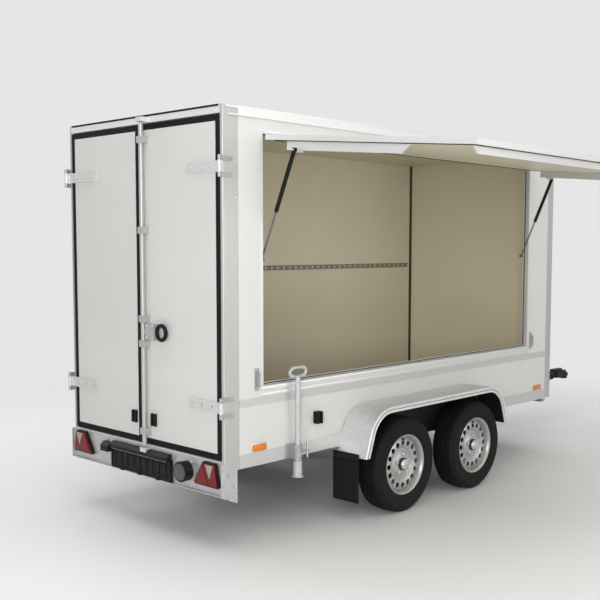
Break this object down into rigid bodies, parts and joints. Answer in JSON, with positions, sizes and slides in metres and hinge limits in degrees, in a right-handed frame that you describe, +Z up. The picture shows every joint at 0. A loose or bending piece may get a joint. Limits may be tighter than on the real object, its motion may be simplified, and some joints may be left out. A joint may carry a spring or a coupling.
{
  "type": "food trailer",
  "caption": "Tandem-axle box trailer for selling food, with a long serving flap on gas struts, rear double doors, mudguards, prop stands and a ball coupling.",
  "frame": {"origin": "centre of the tow ball in the coupling head", "axes": "+X forward along the drawbar, +Y to the trailer's left, +Z up"},
  "size_m": [4.761, 2.8653, 2.23],
  "materials": {
    "white_panel": "satin white laminate",
    "alloy": "anodised, satin",
    "galvanised": "hot-dip galvanised",
    "dark_steel": "satin black paint",
    "rubber_black": "matt",
    "black_plastic": "fine moulded grain",
    "red_lens": "clear red lens",
    "orange_lens": "clear orange lens",
    "clear_lens": "clear lens",
    "floor_ply": "brown film-faced plywood",
    "tyre": "matt",
    "rim_silver": "silver paint",
    "strut_chrome": "polished rod",
    "dark_profile": "satin dark grey"
  },
  "bodies": {
    "trailer": {"chassis_frame": "galvanised", "drawbar": "galvanised", "overrun_device": "dark_steel", "coupling_head": "dark_steel", "handbrake_lever": "galvanised", "axles": "galvanised", "floor": "floor_ply", "lower_walls": "white_panel", "upper_walls": "white_panel", "roof": "white_panel", "corner_posts": "alloy", "roof_rails": "alloy", "side_rails": "alloy", "hatch_frame": "alloy", "rear_frame": "alloy", "door_hinge_brackets": "galvanised", "light_board": "galvanised", "tail_lamps": "red_lens", "plate_holder": "black_plastic", "fog_lamp": "black_plastic", "side_markers": "orange_lens", "front_lamps": "clear_lens", "mudguards": "galvanised", "mud_flaps": "rubber_black", "hold_backs": "black_plastic", "lashing_rail": "dark_profile", "inner_corners": "dark_profile", "hatch_latches": "galvanised", "stand_clamps": "galvanised", "jockey_clamp": "galvanised"},
    "left_door": {"left_door": "white_panel", "left_door_seal": "rubber_black", "left_door_straps": "galvanised"},
    "right_door": {"right_door": "white_panel", "right_door_seal": "rubber_black", "right_door_straps": "galvanised", "lock_bar": "galvanised"},
    "flap": {"flap_panel": "white_panel", "flap_frame": "alloy", "flap_ribs": "alloy"},
    "rear_strut_tube": {"rear_strut_cylinder": "black_plastic"},
    "rear_strut_piston": {"rear_strut_rod": "strut_chrome"},
    "front_strut_tube": {"front_strut_cylinder": "black_plastic"},
    "front_strut_piston": {"front_strut_rod": "strut_chrome"},
    "stand_right": {"right_stand": "galvanised"},
    "stand_left": {"left_stand": "galvanised"},
    "jockey_mast": {"jockey_post": "galvanised"},
    "jockey_caster": {"jockey_fork": "galvanised"},
    "jockey_roller": {"jockey_wheel": "rubber_black"},
    "wheel_right_rear": {"rim_right_rear": "rim_silver", "tyre_right_rear": "tyre"},
    "wheel_right_front": {"rim_right_front": "rim_silver", "tyre_right_front": "tyre"},
    "wheel_left_rear": {"rim_left_rear": "rim_silver", "tyre_left_rear": "tyre"},
    "wheel_left_front": {"rim_left_front": "rim_silver", "tyre_left_front": "tyre"}
  },
  "joints": [
    {"name": "left_door_hinge", "type": "hinge", "parent": "trailer", "child": "left_door", "pos_m": [-4.674, 0.684, 0.85], "axis": [0, 0, -1], "range_deg": [0, 262]},
    {"name": "right_door_hinge", "type": "hinge", "parent": "trailer", "child": "right_door", "pos_m": [-4.674, -0.684, 0.85], "axis": [0, 0, 1], "range_deg": [0, 200]},
    {"name": "flap_hinge", "type": "hinge", "parent": "trailer", "child": "flap", "pos_m": [-4.384, -0.689, 1.764], "axis": [1, 0, 0], "range_deg": [0, 85]},
    {"name": "rear_strut_pivot", "type": "hinge", "parent": "flap", "child": "rear_strut_tube", "pos_m": [-4.354, -0.87637, 1.66831], "axis": [1, 0, 0], "range_deg": [-112.79, 0.5]},
    {"name": "rear_strut_stroke", "type": "slide", "parent": "rear_strut_tube", "child": "rear_strut_piston", "axis": [0, 0.3997, -0.9166], "range_m": [-0.1489, 0.001]},
    {"name": "front_strut_pivot", "type": "hinge", "parent": "flap", "child": "front_strut_tube", "pos_m": [-1.824, -0.87637, 1.66831], "axis": [1, 0, 0], "range_deg": [-112.79, 0.5]},
    {"name": "front_strut_stroke", "type": "slide", "parent": "front_strut_tube", "child": "front_strut_piston", "axis": [0, 0.3997, -0.9166], "range_m": [-0.1489, 0.001]},
    {"name": "right_stand_slide", "type": "slide", "parent": "trailer", "child": "stand_right", "axis": [0, 0, -1], "range_m": [0, 0.32]},
    {"name": "left_stand_slide", "type": "slide", "parent": "trailer", "child": "stand_left", "axis": [0, 0, -1], "range_m": [0, 0.32]},
    {"name": "jockey_slide", "type": "slide", "parent": "trailer", "child": "jockey_mast", "axis": [0, 0, 1], "range_m": [0, 0.095]},
    {"name": "jockey_swivel", "type": "hinge", "parent": "jockey_mast", "child": "jockey_caster", "pos_m": [-0.91174, 0.34315, -0.1], "axis": [0, 0, 1], "continuous": true},
    {"name": "jockey_spin", "type": "hinge", "parent": "jockey_caster", "child": "jockey_roller", "pos_m": [-0.94174, 0.34315, -0.25], "axis": [0, 1, 0], "continuous": true},
    {"name": "wheel_spin_right_rear", "type": "hinge", "parent": "trailer", "child": "wheel_right_rear", "pos_m": [-3.446, -0.808, -0.07], "axis": [0, 1, 0], "continuous": true},
    {"name": "wheel_spin_right_front", "type": "hinge", "parent": "trailer", "child": "wheel_right_front", "pos_m": [-2.731, -0.808, -0.07], "axis": [0, 1, 0], "continuous": true},
    {"name": "wheel_spin_left_rear", "type": "hinge", "parent": "trailer", "child": "wheel_left_rear", "pos_m": [-3.446, 0.808, -0.07], "axis": [0, 1, 0], "continuous": true},
    {"name": "wheel_spin_left_front", "type": "hinge", "parent": "trailer", "child": "wheel_left_front", "pos_m": [-2.731, 0.808, -0.07], "axis": [0, 1, 0], "continuous": true}
  ],
  "couplings": [
    {"joint": "rear_strut_pivot", "follows": "flap_hinge", "ratio": -1.3211},
    {"joint": "rear_strut_stroke", "follows": "flap_hinge", "m_per_rad": -0.09967},
    {"joint": "front_strut_pivot", "follows": "flap_hinge", "ratio": -1.3211},
    {"joint": "front_strut_stroke", "follows": "flap_hinge", "m_per_rad": -0.09967}
  ]
}
